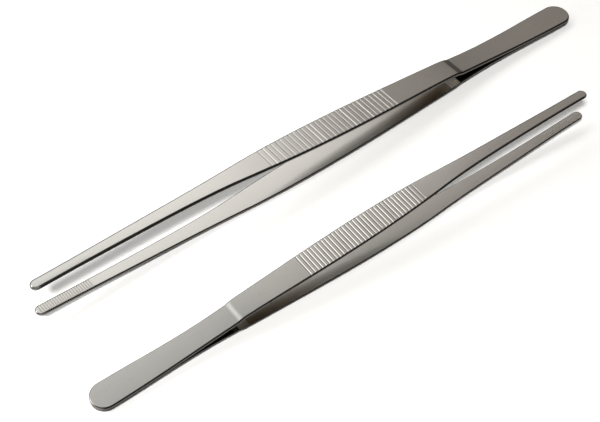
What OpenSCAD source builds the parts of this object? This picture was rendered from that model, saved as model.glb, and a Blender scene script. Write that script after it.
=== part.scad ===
// Two stainless steel print tongs of one pattern, a long pair and a short pair, lying on a table.
// Each pair is two stamped sheet arms, an upper and a lower one, spot-welded together at a rounded heel.
// The arms spring apart by themselves. Squeezing the grooved grips bends both arms at their narrow spring
// behind the step, until the toothed jaws meet. Each arm is drawn as three nodes: its heel pad, its neck with
// the step, and its blade with the grip and the jaw. The seam between heel and neck stands for the bend.
// The neck and the blade of an arm move together and meet face to face.
//
// A pair is drawn along +X with its heel end at x = 0 and the plane between its arms at z = 0, and is then
// tipped onto its lower arm, which rests on the end of the heel and on the flat under the grip.
// The part's origin is on the table, z = 0, under the middle of the long pair's smooth rest face.
// The long pair runs along +X. The short pair lies beside it, heel by the long pair's tips.

/* [Tongs] */
// Length of the long tongs, from heel end to tips
tongs_length = 300; // [280:1:340]
// Thickness of the sheet that the arms are stamped from
sheet = 1.7; // [1.3:0.1:2.2]
// Size of the short tongs, as a share of the long tongs
short_share = 0.847; // [0.75:0.001:0.95]
// How many times wider the short pair's arms are than its share of the long pair's
short_breadth = 1.09; // [1:0.01:1.15]

/* [Arm seen from above] */
// Width of the heel, whose end is a half circle
heel_width = 13.3; // [11:0.1:16]
// Width of the neck, behind the step
neck_width = 11.1; // [9:0.1:13]
// Distance from the heel end to the middle of the neck
neck_at = 63; // [55:1:68]
// Widest part of the grip
grip_width = 13.8; // [12:0.1:16]
// Distance from the heel end to the widest part of the grip
grip_widest_at = 145; // [135:1:155]
// Width where the arm narrows fastest, in front of the grip
taper_width = 10; // [9:0.1:10.5]
// Distance from the heel end to the place where the arm narrows fastest
taper_at = 200; // [194:1:206]
// Loss of half-width in each millimetre there
taper_rate = 0.078; // [0.06:0.001:0.09]
// Width of the slim shank where the taper ends
shank_width = 6.7; // [6:0.1:7.5]
// Distance from the heel end to the start of the slim shank
shank_at = 238; // [230:1:246]
// Width of the jaws, whose ends are half circles
tip_width = 5.2; // [4.4:0.1:5.8]

/* [Gap between the arms] */
// Length of the heel where the two arms lie flat on each other
heel_length = 28; // [24:1:34]
// Gap between the arms at the back of the step
neck_gap = 4.4; // [3.6:0.1:4.8]
// Distance from the heel end to the back of the step
step_at = 75; // [72:1:80]
// Length of the step
step_length = 4; // [3:0.5:6]
// Height that each arm steps outwards
step_rise = 1.1; // [0.8:0.1:1.3]
// Distance from the heel end to the start of the arm's straight, flat stretch
flat_start = 100; // [96:1:104]
// Distance from the heel end to the end of the flat stretch
flat_end = 165; // [155:1:175]
// Gap between the arms at the end of the flat stretch
grip_gap = 15; // [14.6:0.1:16]
// Widest gap between the arms
bow_gap = 18.2; // [17.6:0.1:19.5]
// Distance from the heel end to the widest gap
bow_at = 215; // [208:1:225]
// Gap between the jaws at their tips
tip_gap = 14.5; // [13:0.1:16]
// Closing slope of each arm at the tips, in millimetres for each millimetre of length
tip_slope = 0.03; // [0.02:0.005:0.04]

/* [Grooves and teeth] */
// Distance from the heel end to the first grip groove
grip_start = 117; // [112:1:122]
// Length of the grooved grip
grip_length = 70; // [60:1:76]
// Number of grooves across each grip of the long pair
groove_count = 30; // [24:1:36]
// Number of grooves across each grip of the short pair
short_groove_count = 34; // [24:1:36]
// Width of each groove
groove_width = 0.9; // [0.6:0.1:1.2]
// Depth of each groove
groove_depth = 0.3; // [0.2:0.05:0.4]
// Length of the toothed jaw face
jaw_length = 26; // [18:1:32]
// Distance from one jaw tooth to the next
tooth_pitch = 1.1; // [0.9:0.05:1.5]
// Depth of the notches between the jaw teeth
tooth_depth = 0.3; // [0.2:0.05:0.4]

/* [Heel welds] */
// Diameter of each weld nugget
weld_diameter = 5; // [4:0.1:6]
// Depth that a nugget reaches into each arm
weld_depth = 0.5; // [0.3:0.1:0.7]
// Distance from the heel end to the first nugget
weld_start = 8; // [6:0.5:9]
// Distance between the two nuggets
weld_spacing = 12; // [10:0.5:14]
// Clearance around a nugget
weld_clearance = 0.05; // [0.03:0.01:0.1]

/* [Spring seam] */
// Distance from the heel end to the bending line of each arm
flex_at = 46; // [42:1:50]
// Width of the seam that divides an arm at its bending line
seam = 0.12; // [0.1:0.01:0.2]

/* [How the pair lies] */
// Distance from the heel end to the middle of the smooth rest face
rest_at = 108; // [106:1:110]
// Place of the short pair's rest face along the long pair
short_along = 104; // [60:1:140]
// Distance of the short pair's rest face to the side of the long pair
short_aside = 49.4; // [40:0.1:80]
// Turn of the short pair, whose tips point back towards the long pair's heel
short_turn = 177.5; // [174:0.1:183]

/* [Hidden] */
$fn = 64;

// Straight pieces that one curved stretch is drawn with
smooth = 8;
// How far a cutting shape runs past what it cuts
overrun = 1;
// How far a curve may leave a straight line and still be drawn as one
straight_within = 0.001;
// Straight pieces in a quarter of an arm's round end
end_pieces = 10;
// Share of a tooth's pitch that is its flat crest
crest_share = 0.45;

grip_end = grip_start + grip_length;
jaw_start = tongs_length - jaw_length;
tooth_count = floor((jaw_length - tip_width / 2) / tooth_pitch);
step_end = step_at + step_length;
// Slope of the flat stretch, which is in line with the end of the heel
flat_slope = grip_gap / 2 / flat_end;
// Slope of the spring where it reaches the step: a parabola that starts flat at the heel
neck_slope = neck_gap / (step_at - heel_length);
pitch = atan(flat_slope);

// Stations of half the gap: [distance from the heel end, height, slope]
gap_line = [
    [0, 0, 0],
    [heel_length, 0, 0],
    [step_at, neck_gap / 2, neck_slope],
    [step_end, neck_gap / 2 + step_rise, neck_slope],
    [flat_start, flat_slope * flat_start, flat_slope],
    [flat_end, grip_gap / 2, flat_slope],
    [bow_at, bow_gap / 2, 0],
    [tongs_length, tip_gap / 2, -tip_slope]
];
// Stations of half the width of arms that are so many times as wide as the long pair's
function width_line(breadth) =
    let (heel_radius = breadth * heel_width / 2, tip_radius = breadth * tip_width / 2)
    [
        [heel_radius, heel_radius, 0],
        [neck_at, breadth * neck_width / 2, 0],
        [grip_widest_at, breadth * grip_width / 2, 0],
        [taper_at, breadth * taper_width / 2, -breadth * taper_rate],
        [shank_at, breadth * shank_width / 2, -breadth * taper_rate / 4],
        [tongs_length - tip_radius, tip_radius, 0]
    ];

// Height at x of the cubic from station a to station b
function cubic(a, b, x) =
    let (w = b[0] - a[0], u = (x - a[0]) / w)
    a[1] * (2 * u + 1) * pow(1 - u, 2) + a[2] * w * u * pow(1 - u, 2)
    + b[1] * (3 - 2 * u) * u * u + b[2] * w * (u - 1) * u * u;

// Height at x of the smooth line through a list of stations
function height(line, x, i = 0) =
    i == len(line) - 2 || x <= line[i + 1][0] ? cubic(line[i], line[i + 1], x) : height(line, x, i + 1);

// One piece for a straight stretch of a line, and several for a curved one
function pieces(line, a, b) =
    abs(height(line, (3 * a + b) / 4) - (3 * height(line, a) + height(line, b)) / 4) < straight_within
        ? 1 : smooth;

// Points of a line from a to b, lifted by rise, with a point at each station between them
function trace(line, a, b, rise = 0) =
    let (stops = concat([a], [for (s = line) if (s[0] > a && s[0] < b) s[0]], [b]))
    concat(
        [for (i = [0:len(stops) - 2])
            let (from = stops[i], to = stops[i + 1], n = pieces(line, from, to))
            for (k = [0:n - 1])
                let (x = from + (to - from) * k / n) [x, height(line, x) + rise]],
        [[b, height(line, b) + rise]]
    );

function reversed(points) = [for (i = [len(points) - 1:-1:0]) points[i]];

// Four corners of the groove centred at x in the outer face
function groove(x) =
    let (rim = groove_width / 2, bed = groove_width / 4)
    [for (p = [[-rim, 0], [-bed, groove_depth], [bed, groove_depth], [rim, 0]])
        [x + p[0], height(gap_line, x + p[0]) + sheet - p[1]]];

// A crest and the notch behind it in the jaw face, from x on
function tooth(x) =
    let (notch = x + tooth_pitch * (1 + crest_share) / 2)
    [
        [x, height(gap_line, x)],
        [x + tooth_pitch * crest_share, height(gap_line, x + tooth_pitch * crest_share)],
        [notch, height(gap_line, notch) + tooth_depth]
    ];

// The inner face of the upper arm's blade, back to front, with the jaw teeth
blade_inside = concat(
    trace(gap_line, step_end, jaw_start),
    [for (i = [0:tooth_count - 1]) each tooth(jaw_start + i * tooth_pitch)],
    trace(gap_line, jaw_start + tooth_count * tooth_pitch, tongs_length + overrun)
);

// The outer face of the upper arm's blade, back to front, with so many grip grooves
function blade_outside(grooves) =
    let (groove_pitch = grip_length / (grooves - 1))
    concat(
        trace(gap_line, step_end, grip_start - groove_width, sheet),
        [for (i = [0:grooves - 1]) each groove(grip_start + i * groove_pitch)],
        trace(gap_line, grip_end + groove_width, tongs_length + overrun, sheet)
    );

// Points of a quarter circle round [x, 0], from one angle to the other, without the last
function quarter(x, radius, from, to) =
    [for (k = [0:end_pieces - 1])
        let (angle = from + (to - from) * k / end_pieces) [x + radius * cos(angle), radius * sin(angle)]];

// One edge of an arm seen from above, from the end of the heel to the end of the tip
function arm_edge(breadth) =
    let (line = width_line(breadth), heel = line[0], tip = line[len(line) - 1])
    concat(
        quarter(heel[0], heel[1], 180, 90),
        trace(line, heel[0], tip[0]),
        reversed(quarter(tip[0], tip[1], 0, 90))
    );

// The outline of an arm seen from above
module arm_plan() {
    edge = arm_edge($breadth);
    polygon(concat(edge, reversed([for (p = edge) if (p[1] > straight_within) [p[0], -p[1]]])));
}

// What the outline of an arm keeps of a side view
module stamped(side_view) {
    tall = bow_gap + sheet;
    wide = $breadth * (grip_width + heel_width);
    intersection() {
        translate([0, wide / 2, 0]) rotate([90, 0, 0]) linear_extrude(wide) polygon(side_view);
        translate([0, 0, -overrun]) linear_extrude(tall) arm_plan();
    }
}

// A plain stretch of the upper arm, from a to b
module strip(a, b) {
    stamped(concat(trace(gap_line, a, b), reversed(trace(gap_line, a, b, sheet))));
}

// The upper arm in front of its step: grip, shank and jaw
module blade() {
    stamped(concat(blade_inside, reversed(blade_outside($grooves))));
}

// The upper arm from its bending line to the front of its step
module neck() {
    strip(flex_at + seam / 2, step_end);
}

// The upper arm behind its bending line, with the pockets that the weld nuggets fill
module heel() {
    difference() {
        strip(-overrun, flex_at - seam / 2);
        at_welds() cylinder(h = 2 * weld_depth, d = weld_diameter + 2 * weld_clearance, center = true);
    }
}

module at_welds() {
    for (x = [weld_start, weld_start + weld_spacing]) translate([x, 0, 0]) children();
}

// Tips a pair onto its lower arm and brings its rest face to the origin
module lying() {
    rest_x = rest_at / cos(pitch) + sheet * sin(pitch);
    translate([-rest_x, 0, sheet * cos(pitch)]) rotate([0, -pitch, 0]) children();
}

// What both arms of a pair share: $grooves is how many grooves a grip has, and $breadth how many times as wide
// as the long pair's the arms are
module long_pair() {
    $grooves = groove_count;
    $breadth = 1;
    lying() children();
}

module short_pair() {
    $grooves = short_groove_count;
    $breadth = short_breadth;
    translate([short_along, short_aside, 0]) rotate([0, 0, short_turn]) scale(short_share) lying() children();
}

module lower_blade() {
    color("silver") mirror([0, 0, 1]) blade();
}

module upper_blade() {
    color("gainsboro") blade();
}

module lower_neck() {
    color("darkgray") mirror([0, 0, 1]) neck();
}

module upper_neck() {
    color("lightgray") neck();
}

module lower_heel() {
    color("gray") mirror([0, 0, 1]) heel();
}

module upper_heel() {
    color("darkgray") heel();
}

// The spots of fused metal that hold the two heel pads together
module heel_welds() {
    color("dimgray") at_welds() cylinder(h = 2 * weld_depth, d = weld_diameter, center = true);
}

long_pair() lower_blade();  // long_lower_blade
long_pair() upper_blade();  // long_upper_blade
long_pair() lower_neck();  // long_lower_neck
long_pair() upper_neck();  // long_upper_neck
long_pair() lower_heel();  // long_lower_heel
long_pair() upper_heel();  // long_upper_heel
long_pair() heel_welds();  // long_heel_welds
short_pair() lower_blade();  // short_lower_blade
short_pair() upper_blade();  // short_upper_blade
short_pair() lower_neck();  // short_lower_neck
short_pair() upper_neck();  // short_upper_neck
short_pair() lower_heel();  // short_lower_heel
short_pair() upper_heel();  // short_upper_heel
short_pair() heel_welds();  // short_heel_welds
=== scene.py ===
"""Two stainless steel print tongs of one pattern, a long pair and a short pair, side by side on a table.

Both arms of a pair are copies of one pattern. For it, a strip is marked across at each station and cut to
its outline. It gets its thickness and its round edges, is grooved and toothed, and is at last pressed to its
side shape. This is done in millimetres, with the heel end at x = 0 and the flat arm's inner face at z = 0.
"""
import logging
import math
import random
from dataclasses import dataclass, field, replace
from enum import Enum
from typing import Iterable, NamedTuple, Sequence

import bmesh
import bpy
from mathutils import Matrix, Vector


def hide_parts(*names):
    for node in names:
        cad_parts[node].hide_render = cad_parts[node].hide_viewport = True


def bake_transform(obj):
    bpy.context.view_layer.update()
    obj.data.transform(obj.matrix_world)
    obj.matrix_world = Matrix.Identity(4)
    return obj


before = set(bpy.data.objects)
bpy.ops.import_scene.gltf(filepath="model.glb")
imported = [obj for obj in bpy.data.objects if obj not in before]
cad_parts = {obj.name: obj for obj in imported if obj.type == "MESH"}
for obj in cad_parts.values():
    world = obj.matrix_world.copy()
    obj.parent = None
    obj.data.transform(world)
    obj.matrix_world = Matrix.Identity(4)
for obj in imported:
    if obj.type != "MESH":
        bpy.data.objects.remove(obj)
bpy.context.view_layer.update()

logging.basicConfig(level=logging.INFO, format="%(message)s")
log = logging.getLogger("print_tongs")

METRES = 0.001
# Two places closer than this, in millimetres, are one place
SAME_PLACE = 0.01
# The bevel profile that gives a circle
CIRCLE = 0.5
# A flat pattern's face is one of its sides if the upright part of its normal is less than this
SIDE_LEAN = 0.5
# The numbers of a mix node's two inputs and of its output, for each kind of mix
MIX_SOCKETS = {"FLOAT": (2, 3, 0), "RGBA": (6, 7, 2)}
# The value round which a noise varies
NOISE_MIDDLE = 0.5

Colour = tuple[float, float, float]


class Side(Enum):
    """The two arms of a pair, and which way each one faces."""

    LOWER = -1
    UPPER = 1

    @property
    def label(self) -> str:
        """The word for this arm in the names of nodes and pieces."""
        return self.name.lower()


class Face(Enum):
    """The two faces of an arm."""

    INNER = "inner"
    OUTER = "outer"


class Station(NamedTuple):
    """A place along an arm, in millimetres, with the height and the slope of a line there."""

    at: float
    height: float
    slope: float


def cubic(a: Station, b: Station, x: float) -> float:
    """Height of the cubic from one station to the next.

    Args:
        a: The station behind x.
        b: The station in front of x.
        x: Distance from the heel end, in millimetres.

    Returns:
        The height at x, in millimetres.
    """
    width = b.at - a.at
    u = (x - a.at) / width
    return (
        a.height * (2 * u + 1) * (1 - u) ** 2
        + a.slope * width * u * (1 - u) ** 2
        + b.height * (3 - 2 * u) * u * u
        + b.slope * width * (u - 1) * u * u
    )


def height_of(line: Sequence[Station], x: float) -> float:
    """Height of the smooth line through a list of stations.

    Args:
        line: The stations, from the heel end on.
        x: Distance from the heel end, in millimetres.

    Returns:
        The height at x, in millimetres.
    """
    for a, b in zip(line, line[1:]):
        if x <= b.at:
            return cubic(a, b, x)
    return cubic(line[-2], line[-1], x)


def spread(a: float, b: float, count: int) -> list[float]:
    """Evenly spaced places from a to b, with both ends among them."""
    return [a + (b - a) * i / count for i in range(count + 1)]


class Groove(NamedTuple):
    """A cut across an arm, in millimetres: its middle, half of its width, and its depth."""

    at: float
    reach: float
    depth: float

    def depth_at(self, x: float) -> float:
        """How deep the cut is at x: a round hollow that runs out smoothly to both sides."""
        share = abs(x - self.at) / self.reach
        return self.depth * math.cos(share * math.pi / 2) if share < 1 else 0.0


class Bench:
    """The work on one mesh in edit mode, where points are picked by their places."""

    def __init__(self, piece: bpy.types.Object) -> None:
        """Opens the piece in edit mode, with nothing else selected.

        Args:
            piece: The piece to work on.
        """
        bpy.ops.object.select_all(action="DESELECT")
        piece.select_set(True)
        bpy.context.view_layer.objects.active = piece
        bpy.ops.object.mode_set(mode="EDIT")
        self.piece = piece

    def __enter__(self) -> "Bench":
        """Starts the work."""
        return self

    def __exit__(self, *error: object) -> None:
        """Leaves edit mode when the work is done."""
        bpy.ops.object.mode_set(mode="OBJECT")

    def all(self) -> None:
        """Selects the whole mesh."""
        bpy.ops.mesh.select_all(action="SELECT")

    def points_at(self, x: float) -> None:
        """Selects the points at one distance from the heel end.

        Args:
            x: That distance, in millimetres.
        """
        bpy.ops.mesh.select_mode(type="VERT")
        bpy.ops.mesh.select_all(action="DESELECT")
        mesh = bmesh.from_edit_mesh(self.piece.data)
        for vert in mesh.verts:
            if abs(vert.co.x - x) < SAME_PLACE:
                vert.select = True
        mesh.select_flush(True)
        bmesh.update_edit_mesh(self.piece.data)

    def groups_along(self) -> list[tuple[float, list[int]]]:
        """Gathers the points of the mesh that lie at one distance from the heel end.

        Returns:
            Each distance, in millimetres, with the numbers of the points there.
        """
        mesh = bmesh.from_edit_mesh(self.piece.data)
        rows: dict[int, list[int]] = {}
        for vert in mesh.verts:
            rows.setdefault(round(vert.co.x / SAME_PLACE), []).append(vert.index)
        return [(key * SAME_PLACE, rows[key]) for key in sorted(rows)]

    def by_number(self, numbers: Iterable[int]) -> None:
        """Selects points by their numbers.

        Args:
            numbers: The numbers of the points.
        """
        bpy.ops.mesh.select_all(action="DESELECT")
        mesh = bmesh.from_edit_mesh(self.piece.data)
        mesh.verts.ensure_lookup_table()
        for number in numbers:
            mesh.verts[number].select = True
        mesh.select_flush(True)
        bmesh.update_edit_mesh(self.piece.data)

    def cut_across(self, x: float) -> None:
        """Marks the whole mesh across, at one distance from the heel end."""
        self.all()
        bpy.ops.mesh.bisect(plane_co=(x, 0, 0), plane_no=(1, 0, 0), threshold=SAME_PLACE)


@dataclass(frozen=True)
class ArmPattern:
    """One stamped arm of the long tongs.

    All sizes are in millimetres, and places are counted from the heel end.
    """

    length: float = 300
    sheet: float = 1.7
    # Outline: widths, and the places where the arm has them. The taper's rate is how much half of the width
    # shrinks in a millimetre, and a share of that rate is left at the shank
    heel_width: float = 13.3
    neck_width: float = 11.1
    neck_at: float = 63
    grip_width: float = 13.8
    grip_widest_at: float = 145
    taper_width: float = 10
    taper_at: float = 200
    taper_rate: float = 0.078
    shank_width: float = 6.7
    shank_at: float = 238
    shank_rate_share: float = 0.25
    tip_width: float = 5.2
    # How many times as wide as these widths the arm is made
    breadth: float = 1.0
    # Side shape: the flat heel, the sprung neck, the step, the flat under the grip, and the bow to the tip
    heel_length: float = 28
    neck_gap: float = 4.4
    step_at: float = 75
    step_length: float = 4
    step_rise: float = 1.1
    flat_start: float = 100
    flat_end: float = 165
    grip_gap: float = 15
    bow_gap: float = 18.2
    bow_at: float = 215
    tip_gap: float = 14.5
    tip_slope: float = 0.03
    # Where the neck bends, and where the rest face stands on the origin
    flex_at: float = 46
    rest_at: float = 108
    # Grip grooves, each up to the drift out of place, and shallower by up to the fade's share
    grip_start: float = 117
    grip_length: float = 70
    groove_count: int = 30
    groove_width: float = 0.9
    groove_depth: float = 0.3
    groove_drift: float = 0.12
    groove_fade: float = 0.35
    # Jaw teeth. The crest is the share of the pitch that isn't cut
    jaw_length: float = 26
    tooth_pitch: float = 1.1
    tooth_depth: float = 0.3
    tooth_crest: float = 0.60
    # Weld nuggets, and the clearance of their pockets
    weld_count: int = 2
    weld_diameter: float = 5
    weld_depth: float = 0.5
    weld_start: float = 8
    weld_spacing: float = 12
    weld_clearance: float = 0.05
    # Radius of the edges, on the outer face and on the inner one
    heel_rounds: tuple[float, float] = (0.65, 0.25)
    grip_rounds: tuple[float, float] = (0.70, 0.60)
    tip_rounds: tuple[float, float] = (0.95, 0.68)
    # How deep under a face the points are squeezed when a hollow is pressed into it
    press_room: float = 0.6
    # Fineness: steps round an edge, an end and a pocket, and rows of points along each stretch
    round_steps: int = 4
    end_steps: int = 14
    pocket_steps: int = 48
    heel_rows: int = 6
    neck_rows: int = 16
    step_rows: int = 8
    rise_rows: int = 8
    flat_rows: int = 6
    bow_rows: int = 10
    shank_rows: int = 16
    cut_rows: int = 4

    @property
    def flat_slope(self) -> float:
        """Slope of the flat under the grip, which is in line with the end of the heel."""
        return self.grip_gap / 2 / self.flat_end

    @property
    def neck_slope(self) -> float:
        """Slope of the sprung neck where it reaches the step."""
        return self.neck_gap / (self.step_at - self.heel_length)

    @property
    def step_end(self) -> float:
        """Front end of the step."""
        return self.step_at + self.step_length

    @property
    def gap_line(self) -> list[Station]:
        """Half of the gap between the arms, along the arm.

        Returns:
            The line's stations.
        """
        return [
            Station(0, 0, 0),
            Station(self.heel_length, 0, 0),
            Station(self.step_at, self.neck_gap / 2, self.neck_slope),
            Station(self.step_end, self.neck_gap / 2 + self.step_rise, self.neck_slope),
            Station(self.flat_start, self.flat_slope * self.flat_start, self.flat_slope),
            Station(self.flat_end, self.grip_gap / 2, self.flat_slope),
            Station(self.bow_at, self.bow_gap / 2, 0),
            Station(self.length, self.tip_gap / 2, -self.tip_slope),
        ]

    @property
    def width_line(self) -> list[Station]:
        """Half of the width, between the round end of the heel and that of the jaw.

        Returns:
            The line's stations.
        """
        heel_radius, tip_radius = self.heel_width / 2, self.tip_width / 2
        line = [
            Station(self.breadth * heel_radius, heel_radius, 0),
            Station(self.neck_at, self.neck_width / 2, 0),
            Station(self.grip_widest_at, self.grip_width / 2, 0),
            Station(self.taper_at, self.taper_width / 2, -self.taper_rate),
            Station(self.shank_at, self.shank_width / 2, -self.taper_rate * self.shank_rate_share),
            Station(self.length - self.breadth * tip_radius, tip_radius, 0),
        ]
        return [Station(x, self.breadth * half, self.breadth * slope) for x, half, slope in line]

    def round_at(self, x: float, face: Face) -> float:
        """Radius of one face's edges: small on the flat heel, and larger where the arm is ground slim.

        Args:
            x: Distance from the heel end.
            face: The face that the edges run along.

        Returns:
            The radius.
        """
        pick = 0 if face is Face.OUTER else 1
        all_rounds = (self.heel_rounds, self.grip_rounds, self.tip_rounds)
        heel, grip, tip = (rounds[pick] for rounds in all_rounds)
        line = [
            Station(0, heel, 0),
            Station(self.step_at, heel, 0),
            Station(self.grip_start, grip, 0),
            Station(self.flat_end, grip, 0),
            Station(self.shank_at, tip, 0),
            Station(self.length, tip, 0),
        ]
        return height_of(line, x)

    @property
    def grooves(self) -> list[Groove]:
        """The grip's grooves, each pressed a little out of place and not quite as deep as it could be.

        Returns:
            The grooves, from the heel's side on.
        """
        hand = random.Random(self.groove_count)
        middles = spread(self.grip_start, self.grip_start + self.grip_length, self.groove_count - 1)
        return [
            Groove(
                x + hand.uniform(-self.groove_drift, self.groove_drift),
                self.groove_width / 2,
                self.groove_depth * (1 - hand.uniform(0, self.groove_fade)),
            )
            for x in middles
        ]

    @property
    def notches(self) -> list[Groove]:
        """The notches between the jaw's teeth.

        Returns:
            The notches, from the heel's side on.
        """
        reach = self.tooth_pitch * (1 - self.tooth_crest) / 2
        first = self.length - self.jaw_length + self.tooth_pitch - reach
        count = int((self.length - first) / self.tooth_pitch)
        return [Groove(first + i * self.tooth_pitch, reach, self.tooth_depth) for i in range(count)]

    def lying(self) -> Matrix:
        """The turn and the move that lay a pair on its lower arm, with its rest face on the origin.

        Returns:
            The matrix of both.
        """
        pitch = math.atan(self.flat_slope)
        rest_x = self.rest_at / math.cos(pitch) + self.sheet * math.sin(pitch)
        place = Matrix.Translation((-rest_x, 0, self.sheet * math.cos(pitch)))
        return place @ Matrix.Rotation(-pitch, 4, "Y")

    def build(self) -> bpy.types.Object:
        """Makes the pattern of an upper arm.

        Returns:
            The pattern, in millimetres, with the arm's own coordinates kept on its points.
        """
        piece = self.cut_blank()
        self.round_ends(piece)
        self.thicken(piece)
        self.ease_edges(piece)
        self.mark_tip(piece)
        self.note_places(piece)
        self.press(piece, self.grooves, Face.OUTER)
        self.press(piece, self.notches, Face.INNER)
        self.sink_weld_pockets(piece)
        self.form(piece)
        return piece

    def stations(self) -> list[float]:
        """Every place where the arm is marked across, so that its outline and its side shape can turn there.

        Returns:
            The places, in order from the heel end.
        """
        grip_end = self.grip_start + self.grip_length
        places = [station.at for station in self.width_line]
        places += spread(self.width_line[0].at, self.heel_length, self.heel_rows)
        places += spread(self.heel_length, self.step_at, self.neck_rows)
        places += spread(self.step_at, self.step_end, self.step_rows)
        places += spread(self.step_end, self.flat_start, self.rise_rows)
        places += spread(self.flat_start, self.grip_start - self.groove_width, self.flat_rows)
        places += spread(grip_end + self.groove_width, self.bow_at, self.bow_rows)
        places += spread(self.bow_at, self.length - self.jaw_length, self.shank_rows)
        for cut in self.grooves + self.notches:
            places += spread(cut.at - cut.reach, cut.at + cut.reach, self.cut_rows)
        return sorted(places)

    def cut_blank(self) -> bpy.types.Object:
        """Marks a flat strip across and cuts it to the arm's outline, with square ends.

        Returns:
            The blank.
        """
        bpy.ops.object.select_all(action="DESELECT")
        bpy.ops.mesh.primitive_plane_add(size=1, location=(0, 0, 0))
        piece = bpy.context.active_object
        piece.name = "arm_pattern"
        line = self.width_line
        heel, tip = line[0], line[-1]
        with Bench(piece) as bench:
            bench.all()
            bpy.ops.transform.resize(value=(self.length, 2 * heel.height, 1))
            bpy.ops.transform.translate(value=(self.length / 2, 0, 0))
            for x in self.stations():
                if x < tip.at + SAME_PLACE:
                    bench.cut_across(x)
            for x, numbers in bench.groups_along():
                bench.by_number(numbers)
                share = height_of(line, min(max(x, heel.at), tip.at)) / heel.height
                bpy.ops.transform.resize(value=(1, share, 1), center_override=(x, 0, 0))
        return piece

    def round_ends(self, piece: bpy.types.Object) -> None:
        """Rounds the four corners of the strip into the half circles of the heel and the jaw.

        Args:
            piece: The flat blank.
        """
        with Bench(piece) as bench:
            for x, end in ((0.0, self.width_line[0]), (self.length, self.width_line[-1])):
                bench.points_at(x)
                bpy.ops.mesh.bevel(
                    offset=end.height,
                    affect="VERTICES",
                    segments=self.end_steps,
                    profile=CIRCLE,
                )
                bench.all()
                bpy.ops.mesh.remove_doubles(threshold=SAME_PLACE)

    def thicken(self, piece: bpy.types.Object) -> None:
        """Gives the strip the thickness of the sheet, from its inner face up.

        Args:
            piece: The flat blank.
        """
        with Bench(piece) as bench:
            bench.all()
            bpy.ops.mesh.extrude_region_move(TRANSFORM_OT_translate={"value": (0, 0, self.sheet)})
            bench.all()
            bpy.ops.mesh.normals_make_consistent(inside=False)

    def ease_edges(self, piece: bpy.types.Object) -> None:
        """Rounds the long edges: more on the outer face than on the inner one, and more towards the tip.

        Args:
            piece: The arm, still flat.
        """
        with Bench(piece):
            mesh = bmesh.from_edit_mesh(piece.data)
            mesh.normal_update()
            share = mesh.edges.layers.float.new("bevel_weight_edge")
            widest = max(self.tip_rounds)
            for edge in mesh.edges:
                a, b = (vert.co for vert in edge.verts)
                along_side = min(abs(side.normal.z) for side in edge.link_faces) < SIDE_LEAN
                if along_side and abs(a.z - b.z) < SAME_PLACE:
                    face = Face.OUTER if a.z > self.sheet / 2 else Face.INNER
                    edge[share] = self.round_at((a.x + b.x) / 2, face) / widest
            bmesh.update_edit_mesh(piece.data)
        ease = piece.modifiers.new("round edges", "BEVEL")
        ease.limit_method = "WEIGHT"
        ease.width = widest
        ease.segments = self.round_steps
        bpy.ops.object.modifier_apply(modifier=ease.name)

    def mark_tip(self, piece: bpy.types.Object) -> None:
        """Marks the round end of the jaw across, where its last notches will be cut.

        Args:
            piece: The arm, still flat.
        """
        with Bench(piece) as bench:
            for x in self.stations():
                if self.length > x > self.width_line[-1].at + SAME_PLACE:
                    bench.cut_across(x)

    def note_places(self, piece: bpy.types.Object) -> None:
        """Keeps each point's place on the flat arm, and whether it lies on an edge, for the finishes.

        Args:
            piece: The arm, still flat.
        """
        mesh = piece.data
        mesh.attributes.new("arm_place", "FLOAT_VECTOR", "POINT")
        mesh.attributes.new("rim", "FLOAT", "POINT")
        flat, rim = mesh.attributes["arm_place"], mesh.attributes["rim"]
        for i, vert in enumerate(mesh.vertices):
            flat.data[i].vector = vert.co
            on_face = min(vert.co.z, self.sheet - vert.co.z) < SAME_PLACE
            rim.data[i].value = 0.0 if on_face else 1.0

    def press(self, piece: bpy.types.Object, cuts: Sequence[Groove], face: Face) -> None:
        """Presses hollows across one face, right over its round edges.

        Args:
            piece: The arm, still flat.
            cuts: The hollows.
            face: The face that they go into.
        """
        root = self.sheet - self.press_room if face is Face.OUTER else self.press_room
        with Bench(piece) as bench:
            for x, numbers in bench.groups_along():
                depth = max(cut.depth_at(x) for cut in cuts)
                if depth > 0:
                    mesh = bmesh.from_edit_mesh(piece.data)
                    mesh.verts.ensure_lookup_table()
                    above = [n for n in numbers if mesh.verts[n].co.z > root]
                    below = [n for n in numbers if mesh.verts[n].co.z < root]
                    bench.by_number(above if face is Face.OUTER else below)
                    keep = 1 - depth / self.press_room
                    bpy.ops.transform.resize(value=(1, 1, keep), center_override=(x, 0, root))

    def sink_weld_pockets(self, piece: bpy.types.Object) -> None:
        """Sinks the pockets that the weld nuggets fill into the inner face of the heel.

        Args:
            piece: The arm, still flat.
        """
        for i in range(self.weld_count):
            bpy.ops.object.select_all(action="DESELECT")
            bpy.ops.mesh.primitive_cylinder_add(
                vertices=self.pocket_steps,
                radius=self.weld_diameter / 2 + self.weld_clearance,
                depth=2 * (self.weld_depth + self.weld_clearance),
                location=(self.weld_start + i * self.weld_spacing, 0, 0),
            )
            cutter = bpy.context.active_object
            bpy.context.view_layer.objects.active = piece
            cut = piece.modifiers.new("weld pocket", "BOOLEAN")
            cut.operation = "DIFFERENCE"
            cut.solver = "EXACT"
            cut.object = cutter
            bpy.ops.object.modifier_apply(modifier=cut.name)
            bpy.data.objects.remove(cutter)

    def form(self, piece: bpy.types.Object) -> None:
        """Presses the flat arm to its side shape, row by row.

        Args:
            piece: The arm, still flat.
        """
        line = self.gap_line
        with Bench(piece) as bench:
            bpy.ops.mesh.select_mode(type="VERT")
            for x, numbers in bench.groups_along():
                rise = height_of(line, max(x, 0))
                if rise > 0:
                    bench.by_number(numbers)
                    bpy.ops.transform.translate(value=(0, 0, rise))


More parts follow.
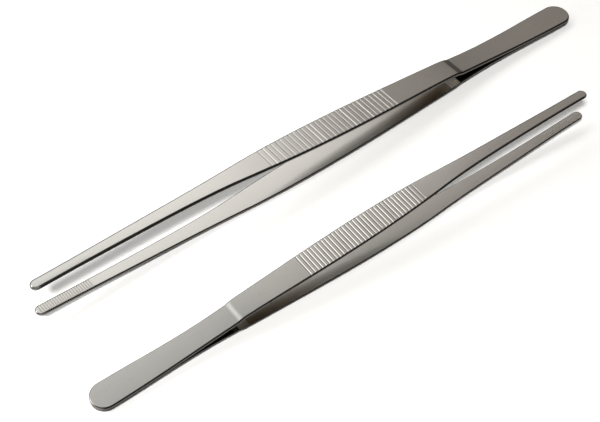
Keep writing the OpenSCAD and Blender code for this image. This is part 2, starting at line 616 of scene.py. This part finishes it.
# The colours and the numbers that a steel finish hands to the satin group, each under its field's name
SATIN_COLOURS = ("Colour", "Rim Colour", "Painted Step Shade", "Painted Gap Shade", "Edge Tint")
SATIN_NUMBERS = (
    "Step Shade From",
    "Step Shade To",
    "Step Shade End",
    "Gap End",
    "Middle",
    "Edge From",
    "Edge To",
    "Lip From",
    "Lip To",
    "Half Length",
    "Ends From",
    "Ends To",
    "Roughness",
    "Rim Roughness",
    "Grain Length",
    "Grain Width",
    "Cloud Size",
)


@dataclass(frozen=True)
class SteelFinish:
    """A satin steel: its colour, its gloss, its painted shades and painted dark edge reflection, and its
    grain, with sizes in millimetres.
    """

    name: str
    colour: Colour
    rim_colour: Colour
    painted_step_shade: Colour
    roughness: float
    rim_roughness: float
    # Painted shade on the inner face past the step, where the arms close in: it grows from the first place
    # to the second and ends at the third
    step_shade_from: float = 135.0
    step_shade_to: float = 85.0
    step_shade_end: float = 81.0
    # Painted shade on the inner face from the heel end to the start of the step, in the dark gap between the
    # arms
    painted_gap_shade: Colour = (0.16, 0.14, 0.12)
    gap_end: float = 75.5
    # Height that parts the sheet's inner half from its outer one
    middle: float = 0.85
    # Painted dark reflection on the round edges: the heights between which it darkens them, towards the
    # outer face and towards the inner one
    edge_tint: Colour = (0.07, 0.067, 0.064)
    edge_from: float = 0.65
    edge_to: float = 1.0
    lip_from: float = 0.6
    lip_to: float = 0.3
    # The painted dark reflection fades out near both ends, which stay bright: half of the arm, and the
    # distances from its middle where it fades
    half_length: float = 150.0
    ends_from: float = 149.5
    ends_to: float = 146.0
    grain_length: float = 6.0
    grain_width: float = 0.12
    grain_depth: float = 0.02
    grain_strength: float = 0.25
    cloud_size: float = 35.0

    def value(self, label: str) -> "Colour | float":
        """The field that belongs to one of the satin group's inputs."""
        return getattr(self, label.lower().replace(" ", "_"))

    def build(self, groups: "SharedEffects") -> bpy.types.Material:
        """Makes the material.

        Args:
            groups: The effects that more than one material uses.

        Returns:
            The material, which reads the places kept on the arm's points.
        """
        material = bpy.data.materials.new(self.name)
        material.use_nodes = True
        nodes, links = material.node_tree.nodes, material.node_tree.links
        shader = nodes["Principled BSDF"]
        shader.inputs["Metallic"].default_value = 1.0
        place = nodes.new("ShaderNodeAttribute")
        place.attribute_name = "arm_place"
        rim = nodes.new("ShaderNodeAttribute")
        rim.attribute_name = "rim"
        effect = nodes.new("ShaderNodeGroup")
        effect.node_tree = groups.satin
        for label in SATIN_COLOURS:
            effect.inputs[label].default_value = (*self.value(label), 1)
        for label in SATIN_NUMBERS:
            effect.inputs[label].default_value = self.value(label)
        links.new(place.outputs["Vector"], effect.inputs["Place"])
        links.new(rim.outputs["Fac"], effect.inputs["Rim"])
        links.new(effect.outputs["Colour"], shader.inputs["Base Color"])
        links.new(effect.outputs["Roughness"], shader.inputs["Roughness"])
        bump = nodes.new("ShaderNodeBump")
        bump.inputs["Strength"].default_value = self.grain_strength
        bump.inputs["Distance"].default_value = self.grain_depth * METRES
        links.new(effect.outputs["Height"], bump.inputs["Height"])
        links.new(bump.outputs["Normal"], shader.inputs["Normal"])
        return material


@dataclass(frozen=True)
class WeldFinish:
    """The dull, freckled metal of a spot weld. The freckles' size is in metres."""

    name: str = "fused_weld"
    light: Colour = (0.50, 0.49, 0.48)
    dark: Colour = (0.36, 0.35, 0.34)
    roughness: float = 0.55
    freckle: float = 0.0008

    def build(self) -> bpy.types.Material:
        """Makes the material.

        Returns:
            The material, which reads the weld's own coordinates.
        """
        material = bpy.data.materials.new(self.name)
        material.use_nodes = True
        nodes, links = material.node_tree.nodes, material.node_tree.links
        shader = nodes["Principled BSDF"]
        shader.inputs["Metallic"].default_value = 1.0
        shader.inputs["Roughness"].default_value = self.roughness
        place = nodes.new("ShaderNodeTexCoord")
        freckles = nodes.new("ShaderNodeTexNoise")
        freckles.inputs["Scale"].default_value = 1 / self.freckle
        tones = nodes.new("ShaderNodeValToRGB")
        tones.color_ramp.elements[0].color = (*self.dark, 1)
        tones.color_ramp.elements[1].color = (*self.light, 1)
        links.new(place.outputs["Object"], freckles.inputs["Vector"])
        links.new(freckles.outputs["Fac"], tones.inputs["Fac"])
        links.new(tones.outputs["Color"], shader.inputs["Base Color"])
        return material


class Wiring:
    """Adds nodes to one shader group and joins them up."""

    def __init__(self, tree: bpy.types.ShaderNodeTree) -> None:
        """Starts with the group's own inputs and outputs.

        Args:
            tree: The group.
        """
        self.nodes = tree.nodes
        self.links = tree.links
        self.given = self.nodes.new("NodeGroupInput").outputs
        self.result = self.nodes.new("NodeGroupOutput").inputs

    def math(self, operation: str, *values: "bpy.types.NodeSocket | float") -> bpy.types.NodeSocket:
        """Adds one sum.

        Args:
            operation: What the sum does.
            values: What goes into it: other nodes' results, or numbers.

        Returns:
            The sum's result.
        """
        node = self.nodes.new("ShaderNodeMath")
        node.operation = operation
        for slot, value in zip(node.inputs, values):
            if isinstance(value, bpy.types.NodeSocket):
                self.links.new(value, slot)
            else:
                slot.default_value = value
        return node.outputs[0]

    def noise(self, place: bpy.types.NodeSocket, detail: float) -> bpy.types.NodeSocket:
        """Adds a noise at its place's own scale.

        Args:
            place: The place that it reads.
            detail: How many finer layers lie over it.

        Returns:
            The noise's value.
        """
        node = self.nodes.new("ShaderNodeTexNoise")
        node.inputs["Scale"].default_value = 1.0
        node.inputs["Detail"].default_value = detail
        self.links.new(place, node.inputs["Vector"])
        return node.outputs["Fac"]

    def mix(
        self,
        kind: str,
        share: bpy.types.NodeSocket,
        first: bpy.types.NodeSocket,
        second: bpy.types.NodeSocket,
        blend: str = "MIX",
    ) -> bpy.types.NodeSocket:
        """Adds a mix of two colours or of two numbers.

        Args:
            kind: The kind of mix, as in MIX_SOCKETS.
            share: How far the mix goes to the second one.
            first: The first colour or number.
            second: The second one.
            blend: How two colours are mixed.

        Returns:
            The mix's result.
        """
        node = self.nodes.new("ShaderNodeMix")
        node.data_type = kind
        node.blend_type = blend
        first_slot, second_slot, out_slot = MIX_SOCKETS[kind]
        self.links.new(share, node.inputs[0])
        self.links.new(first, node.inputs[first_slot])
        self.links.new(second, node.inputs[second_slot])
        return node.outputs[out_slot]

    def ramp(self, value: bpy.types.NodeSocket, start: str, end: str) -> bpy.types.NodeSocket:
        """Adds a smooth rise from 0 to 1.

        Args:
            value: The value that it follows.
            start: The group's input that says where it is 0.
            end: The group's input that says where it is 1.

        Returns:
            The rise's height.
        """
        node = self.nodes.new("ShaderNodeMapRange")
        node.interpolation_type = "SMOOTHSTEP"
        self.links.new(value, node.inputs["Value"])
        self.links.new(self.given[start], node.inputs["From Min"])
        self.links.new(self.given[end], node.inputs["From Max"])
        return node.outputs[0]

    def tinted(
        self,
        share: bpy.types.NodeSocket,
        under: bpy.types.NodeSocket,
        tint: str,
    ) -> bpy.types.NodeSocket:
        """Multiplies a colour by one of the group's painted shades or its painted dark edge reflection, as
        far as the share says.
        """
        return self.mix("RGBA", share, under, self.given[tint], blend="MULTIPLY")

    def wavering(
        self,
        noise: bpy.types.NodeSocket,
        amount: float,
        about: bpy.types.NodeSocket,
    ) -> bpy.types.NodeSocket:
        """Lets a number waver with a noise.

        Args:
            noise: The noise.
            amount: How far the number wavers in all.
            about: The number.

        Returns:
            The wavering number.
        """
        swing = self.math("MULTIPLY", self.math("SUBTRACT", noise, NOISE_MIDDLE), amount)
        return self.math("ADD", swing, about)


@dataclass
class SharedEffects:
    """The shader groups that more than one material uses, with how much each noise does in them."""

    satin: bpy.types.ShaderNodeTree = field(init=False)
    grain_detail: float = 2.0
    cloud_detail: float = 3.0
    # The least tone, to which the clouds add up to their own share
    least_tone: float = 0.95
    cloud_tone: float = 0.10
    grain_tone: float = 0.05
    grain_gloss: float = 0.10
    cloud_gloss: float = 0.06

    def __post_init__(self) -> None:
        """Builds each group once."""
        self.satin = self.build_satin()

    def build_satin(self) -> bpy.types.ShaderNodeTree:
        """Makes the satin group: long fine grain, soft clouds, smoother edges, painted shade inside the heel
        and neck, and a painted dark reflection on the edges.

        Returns:
            The group.
        """
        tree = bpy.data.node_groups.new("satin_steel", "ShaderNodeTree")
        self.declare_satin(tree)
        wiring = Wiring(tree)
        links, given, result = wiring.links, wiring.given, wiring.result
        parts = wiring.nodes.new("ShaderNodeSeparateXYZ")
        links.new(given["Place"], parts.inputs[0])
        grain = self.grain(wiring, parts.outputs)
        clouds = self.clouds(wiring)
        tone = wiring.math("ADD", wiring.math("MULTIPLY", clouds, self.cloud_tone), self.least_tone)
        toned = wiring.nodes.new("ShaderNodeVectorMath")
        toned.operation = "SCALE"
        links.new(self.colour(wiring, parts.outputs), toned.inputs[0])
        links.new(wiring.wavering(grain, self.grain_tone, tone), toned.inputs["Scale"])
        links.new(toned.outputs[0], result["Colour"])
        gloss = wiring.mix("FLOAT", given["Rim"], given["Roughness"], given["Rim Roughness"])
        gloss = wiring.wavering(grain, self.grain_gloss, gloss)
        links.new(wiring.wavering(clouds, self.cloud_gloss, gloss), result["Roughness"])
        links.new(grain, result["Height"])
        return tree

    @staticmethod
    def declare_satin(tree: bpy.types.ShaderNodeTree) -> None:
        """Names the satin group's inputs and outputs.

        Args:
            tree: The group, still empty.
        """
        face = tree.interface
        face.new_socket("Place", in_out="INPUT", socket_type="NodeSocketVector")
        face.new_socket("Rim", in_out="INPUT", socket_type="NodeSocketFloat")
        for label in SATIN_COLOURS:
            face.new_socket(label, in_out="INPUT", socket_type="NodeSocketColor")
        for label in SATIN_NUMBERS:
            face.new_socket(label, in_out="INPUT", socket_type="NodeSocketFloat")
        face.new_socket("Colour", in_out="OUTPUT", socket_type="NodeSocketColor")
        face.new_socket("Roughness", in_out="OUTPUT", socket_type="NodeSocketFloat")
        face.new_socket("Height", in_out="OUTPUT", socket_type="NodeSocketFloat")

    def grain(self, wiring: Wiring, parts: bpy.types.bpy_prop_collection) -> bpy.types.NodeSocket:
        """Adds the fine grain, which runs along the arm.

        Args:
            wiring: The group's wiring.
            parts: The three parts of the place on the flat arm.

        Returns:
            The grain's value.
        """
        place = wiring.nodes.new("ShaderNodeCombineXYZ")
        for axis, size in (("X", "Grain Length"), ("Y", "Grain Width"), ("Z", "Grain Width")):
            wiring.links.new(wiring.math("DIVIDE", parts[axis], wiring.given[size]), place.inputs[axis])
        return wiring.noise(place.outputs[0], self.grain_detail)

    def clouds(self, wiring: Wiring) -> bpy.types.NodeSocket:
        """Adds the soft clouds, which are alike in every direction.

        Args:
            wiring: The group's wiring.

        Returns:
            The clouds' value.
        """
        place = wiring.nodes.new("ShaderNodeVectorMath")
        place.operation = "DIVIDE"
        wiring.links.new(wiring.given["Place"], place.inputs[0])
        size = wiring.nodes.new("ShaderNodeCombineXYZ")
        for slot in size.inputs:
            wiring.links.new(wiring.given["Cloud Size"], slot)
        wiring.links.new(size.outputs[0], place.inputs[1])
        return wiring.noise(place.outputs[0], self.cloud_detail)

    @staticmethod
    def colour(wiring: Wiring, parts: bpy.types.bpy_prop_collection) -> bpy.types.NodeSocket:
        """Adds the steel's colour, with painted shade inside the heel and neck and a painted dark reflection
        on the edges.

        Args:
            wiring: The group's wiring.
            parts: The three parts of the place on the flat arm.

        Returns:
            The colour.
        """
        given = wiring.given
        along, height = parts["X"], parts["Z"]
        inner_half = wiring.math("LESS_THAN", height, given["Middle"])
        inner_face = wiring.math("MULTIPLY", inner_half, wiring.math("SUBTRACT", 1.0, given["Rim"]))
        # Painted shade on the inner face past the step, in the narrow space between the arms
        past_step = wiring.math("GREATER_THAN", along, given["Step Shade End"])
        step_shade = wiring.math("MULTIPLY", wiring.ramp(along, "Step Shade From", "Step Shade To"), past_step)
        step_shade = wiring.math("MULTIPLY", step_shade, inner_face)
        # Painted shade on the inner face behind the step, in the dark gap between the arms
        behind_step = wiring.math("LESS_THAN", along, given["Gap End"])
        gap = wiring.math("MULTIPLY", behind_step, inner_face)
        # Painted dark reflection on the round edges, which fades out towards both ends of the arm
        from_middle = wiring.math("SUBTRACT", along, given["Half Length"])
        between_ends = wiring.ramp(wiring.math("ABSOLUTE", from_middle), "Ends From", "Ends To")
        outer_dark_reflection = wiring.ramp(height, "Edge From", "Edge To")
        edge = wiring.math("MAXIMUM", outer_dark_reflection, wiring.ramp(height, "Lip From", "Lip To"))
        edge = wiring.math("MULTIPLY", wiring.math("MULTIPLY", edge, given["Rim"]), between_ends)
        base = wiring.mix("RGBA", given["Rim"], given["Colour"], given["Rim Colour"])
        # Multiplies in the painted shades and the painted dark edge reflection
        for share, tint in ((step_shade, "Painted Step Shade"), (gap, "Painted Gap Shade"), (edge, "Edge Tint")):
            base = wiring.tinted(share, base, tint)
        return base


@dataclass(frozen=True)
class Lay:
    """How a pair lies on the table: its shift in millimetres, its turn in degrees and its scale."""

    along: float = 0.0
    aside: float = 0.0
    turn: float = 0.0
    scale: float = 1.0

    def matrix(self) -> Matrix:
        """Scales the pair, then turns it, then moves it.

        Returns:
            The matrix of all three.
        """
        return (
            Matrix.Translation((self.along, self.aside, 0))
            @ Matrix.Rotation(math.radians(self.turn), 4, "Z")
            @ Matrix.Scale(self.scale, 4)
        )


@dataclass
class Tongs:
    """One pair of tongs: two arms that bend at their necks, and the weld nuggets between their heels."""

    name: str
    pattern: ArmPattern
    lay: Lay = Lay()
    # The stretch of each neck that bends, in the pattern's millimetres
    bend_run: float = 20.0
    # Faces that meet at a smaller angle than this, in degrees, are shaded as one
    smooth_angle: float = 25.0

    def place(self) -> Matrix:
        """The whole way from the pattern's millimetres to the row's metres."""
        return Matrix.Scale(METRES, 4) @ self.lay.matrix() @ self.pattern.lying()

    def build(self, steel: bpy.types.Material, weld: bpy.types.Material) -> list[bpy.types.Object]:
        """Makes both arms from copies of the pattern and dresses the weld nuggets.

        Args:
            steel: The arms' finish.
            weld: The nuggets' finish.

        Returns:
            The pair's pieces: both arms and the nuggets.
        """
        model = self.pattern.build()
        pieces = []
        for side in Side:
            arm = self.copy_arm(model, side)
            arm.data.materials.clear()
            arm.data.materials.append(steel)
            self.hang(arm, side)
            pieces.append(arm)
        bpy.data.objects.remove(model)
        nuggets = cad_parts[f"{self.name}_heel_welds"]
        nuggets.data.materials.clear()
        nuggets.data.materials.append(weld)
        return [*pieces, nuggets]

    def copy_arm(self, model: bpy.types.Object, side: Side) -> bpy.types.Object:
        """Copies the pattern into its place as one arm of this pair, and finishes its shading.

        Args:
            model: The pattern's mesh.
            side: The arm to make.

        Returns:
            The arm.
        """
        arm = model.copy()
        arm.data = model.data.copy()
        arm.name = arm.data.name = f"{self.name}_{side.label}_arm"
        bpy.context.collection.objects.link(arm)
        arm.matrix_world = self.place() @ Matrix.Scale(side.value, 4, (0, 0, 1))
        bpy.ops.object.select_all(action="DESELECT")
        arm.select_set(True)
        bpy.context.view_layer.objects.active = arm
        bpy.ops.object.transform_apply(location=True, rotation=True, scale=True)
        with Bench(arm) as bench:
            bench.all()
            bpy.ops.mesh.normals_make_consistent(inside=False)
        bpy.ops.object.shade_smooth_by_angle(angle=math.radians(self.smooth_angle))
        even = arm.modifiers.new("even faces", "WEIGHTED_NORMAL")
        even.keep_sharp = True
        bpy.ops.object.modifier_apply(modifier=even.name)
        return arm

    def hang(self, arm: bpy.types.Object, side: Side) -> None:
        """Bakes the arm's place into its mesh, and hides this arm's blade, neck and heel pieces that came
        from model.glb.

        Args:
            arm: The arm.
            side: Which of the two it is.
        """
        start = self.place() @ Vector((self.pattern.flex_at - self.bend_run / 2, 0, 0))
        end = self.place() @ Vector((self.pattern.flex_at + self.bend_run / 2, 0, 0))
        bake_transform(arm)
        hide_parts(*(f"{self.name}_{side.label}_{part}" for part in ("blade", "neck", "heel")))


class Reach(Enum):
    """What the light of a panel falls on."""

    ALL = "everything"
    TABLE = "all but reflections"
    STEEL = "reflections alone"


class Panel(NamedTuple):
    """An area light that faces the middle of the tongs, with its distance and its size in metres.

    Its turn is counted in degrees from straight behind, as the camera looks, towards the camera's left. Its
    height is counted in degrees above the table. A glow of 1 shows as white.
    """

    name: str
    turn: float
    height: float
    distance: float
    size: tuple[float, float]
    glow: float
    colour: Colour
    reach: Reach = Reach.ALL


WARM_WHITE = (1.0, 0.99, 0.97)
CARD_DISTANCE = 1.0
CARD_GLOW = 0.42


def card(name: str, turn: float, height: float, size: tuple[float, float]) -> Panel:
    """A dim panel that only the steel shows."""
    return Panel(name, turn, height, CARD_DISTANCE, size, CARD_GLOW, WARM_WHITE, Reach.STEEL)


PANELS = (
    Panel(
        "left_strip",
        turn=44,
        height=48,
        distance=0.8,
        size=(1.2, 0.36),
        glow=1.25,
        colour=(0.98, 1.0, 1.0),
    ),
    Panel(
        "left_wing",
        turn=92,
        height=32,
        distance=0.8,
        size=(0.4, 0.5),
        glow=1.60,
        colour=(1.0, 0.98, 0.94),
    ),
    Panel(
        "back_panel",
        turn=-15,
        height=45,
        distance=0.9,
        size=(0.9, 0.75),
        glow=0.30,
        colour=(1.0, 0.92, 0.84),
    ),
    Panel(
        "front_lamp",
        turn=168,
        height=54,
        distance=1.3,
        size=(0.16, 0.16),
        glow=160.0,
        colour=WARM_WHITE,
        reach=Reach.TABLE,
    ),
    card("front_card", turn=180, height=48, size=(1.3, 0.8)),
    card("right_card", turn=-105, height=48, size=(1.3, 0.8)),
    card("top_card", turn=0, height=86, size=(0.6, 0.5)),
)


@dataclass(frozen=True)
class Studio:
    """A white table, the panels over it and the camera, with the lens and the sensor in millimetres."""

    aim: tuple[float, float, float] = (0.0740, 0.0186, 0.0)
    camera_at: tuple[float, float, float] = (0.2806, 0.2792, 0.3952)
    lens: float = 72.2
    sensor: float = 36.0
    nearest: float = 0.01
    table_size: float = 1.1
    # The table's tone as steel and lamps find it, and as the camera sees it
    table_tone: float = 0.45
    shown_table_tone: float = 1.3
    world_colour: Colour = (1.0, 0.93, 0.86)
    world_strength: float = 0.03

    def build(self) -> None:
        """Sets up the table, the lights, the world and the camera."""
        self.lay_table()
        for panel in PANELS:
            self.hang(panel)
        self.fill_world()
        self.place_camera()
        bpy.context.scene.view_settings.view_transform = "Standard"

    def lay_table(self) -> None:
        """Lays a white table top, which shows white to the camera wherever no shadow falls."""
        bpy.ops.object.select_all(action="DESELECT")
        bpy.ops.mesh.primitive_plane_add(size=self.table_size, location=(*self.aim[:2], 0))
        table = bpy.context.active_object
        table.name = "table"
        material = bpy.data.materials.new("white_table")
        material.use_nodes = True
        nodes, links = material.node_tree.nodes, material.node_tree.links
        nodes.remove(nodes["Principled BSDF"])
        path = nodes.new("ShaderNodeLightPath")
        pick = nodes.new("ShaderNodeMixShader")
        links.new(path.outputs["Is Camera Ray"], pick.inputs[0])
        for slot, tone in ((1, self.table_tone), (2, self.shown_table_tone)):
            plain = nodes.new("ShaderNodeBsdfDiffuse")
            plain.inputs["Color"].default_value = (tone, tone, tone, 1)
            links.new(plain.outputs[0], pick.inputs[slot])
        links.new(pick.outputs[0], nodes["Material Output"].inputs["Surface"])
        table.data.materials.append(material)

    def seat(self, panel: Panel) -> Vector:
        """Works out where a panel hangs.

        Args:
            panel: The panel.

        Returns:
            Its place.
        """
        behind = Vector(self.aim) - Vector(self.camera_at)
        behind.z = 0
        behind.normalize()
        left = Vector((-behind.y, behind.x, 0))
        turn, lift = math.radians(panel.turn), math.radians(panel.height)
        flat = behind * math.cos(turn) + left * math.sin(turn)
        return Vector(self.aim) + panel.distance * (flat * math.cos(lift) + Vector((0, 0, math.sin(lift))))

    def hang(self, panel: Panel) -> None:
        """Hangs one area light, which faces the middle of the tongs.

        Args:
            panel: The light's size, place, glow and colour, and what it falls on.
        """
        data = bpy.data.lights.new(panel.name, "AREA")
        data.shape = "RECTANGLE"
        data.size, data.size_y = panel.size
        data.energy = panel.glow * math.pi * panel.size[0] * panel.size[1]
        data.color = panel.colour
        lamp = bpy.data.objects.new(panel.name, data)
        bpy.context.collection.objects.link(lamp)
        lamp.location = self.seat(panel)
        lamp.rotation_euler = (Vector(self.aim) - lamp.location).to_track_quat("-Z", "Y").to_euler()
        lamp.visible_glossy = panel.reach is not Reach.TABLE
        lamp.visible_diffuse = panel.reach is not Reach.STEEL

    def fill_world(self) -> None:
        """Fills the room with a dim even light, and shows white to the camera."""
        world = bpy.data.worlds.new("studio")
        bpy.context.scene.world = world
        world.use_nodes = True
        nodes, links = world.node_tree.nodes, world.node_tree.links
        room = nodes["Background"]
        room.inputs["Color"].default_value = (*self.world_colour, 1)
        room.inputs["Strength"].default_value = self.world_strength
        white = nodes.new("ShaderNodeBackground")
        white.inputs["Color"].default_value = (1, 1, 1, 1)
        path = nodes.new("ShaderNodeLightPath")
        pick = nodes.new("ShaderNodeMixShader")
        links.new(path.outputs["Is Camera Ray"], pick.inputs[0])
        links.new(room.outputs[0], pick.inputs[1])
        links.new(white.outputs[0], pick.inputs[2])
        links.new(pick.outputs[0], nodes["World Output"].inputs["Surface"])

    def place_camera(self) -> None:
        """Places the camera in front of the tongs, above their right."""
        data = bpy.data.cameras.new("camera")
        data.lens = self.lens
        data.sensor_width = self.sensor
        data.clip_start = self.nearest
        camera = bpy.data.objects.new("camera", data)
        bpy.context.collection.objects.link(camera)
        camera.location = self.camera_at
        look = Vector(self.aim) - Vector(self.camera_at)
        camera.rotation_euler = look.to_track_quat("-Z", "Y").to_euler()
        bpy.context.scene.camera = camera


def main() -> None:
    """Builds the finishes, both pairs of tongs and the studio."""
    effects = SharedEffects()
    steel = SteelFinish(
        name="satin_stainless",
        colour=(0.625, 0.605, 0.575),
        rim_colour=(0.66, 0.64, 0.61),
        # A warm brown painted shade for the inner face past the step
        painted_step_shade=(0.52, 0.47, 0.40),
        roughness=0.30,
        rim_roughness=0.20,
    ).build(effects)
    weld = WeldFinish().build()
    long_pattern = ArmPattern()
    short_pattern = replace(long_pattern, groove_count=34, breadth=1.09)
    short_lay = Lay(along=104.0, aside=49.4, turn=177.5, scale=0.847)
    for tongs in (Tongs("long", long_pattern), Tongs("short", short_pattern, short_lay)):
        for piece in tongs.build(steel, weld):
            log.info("%s: %d faces", piece.name, len(piece.data.polygons))
    Studio().build()


if __name__ == "__main__":
    main()
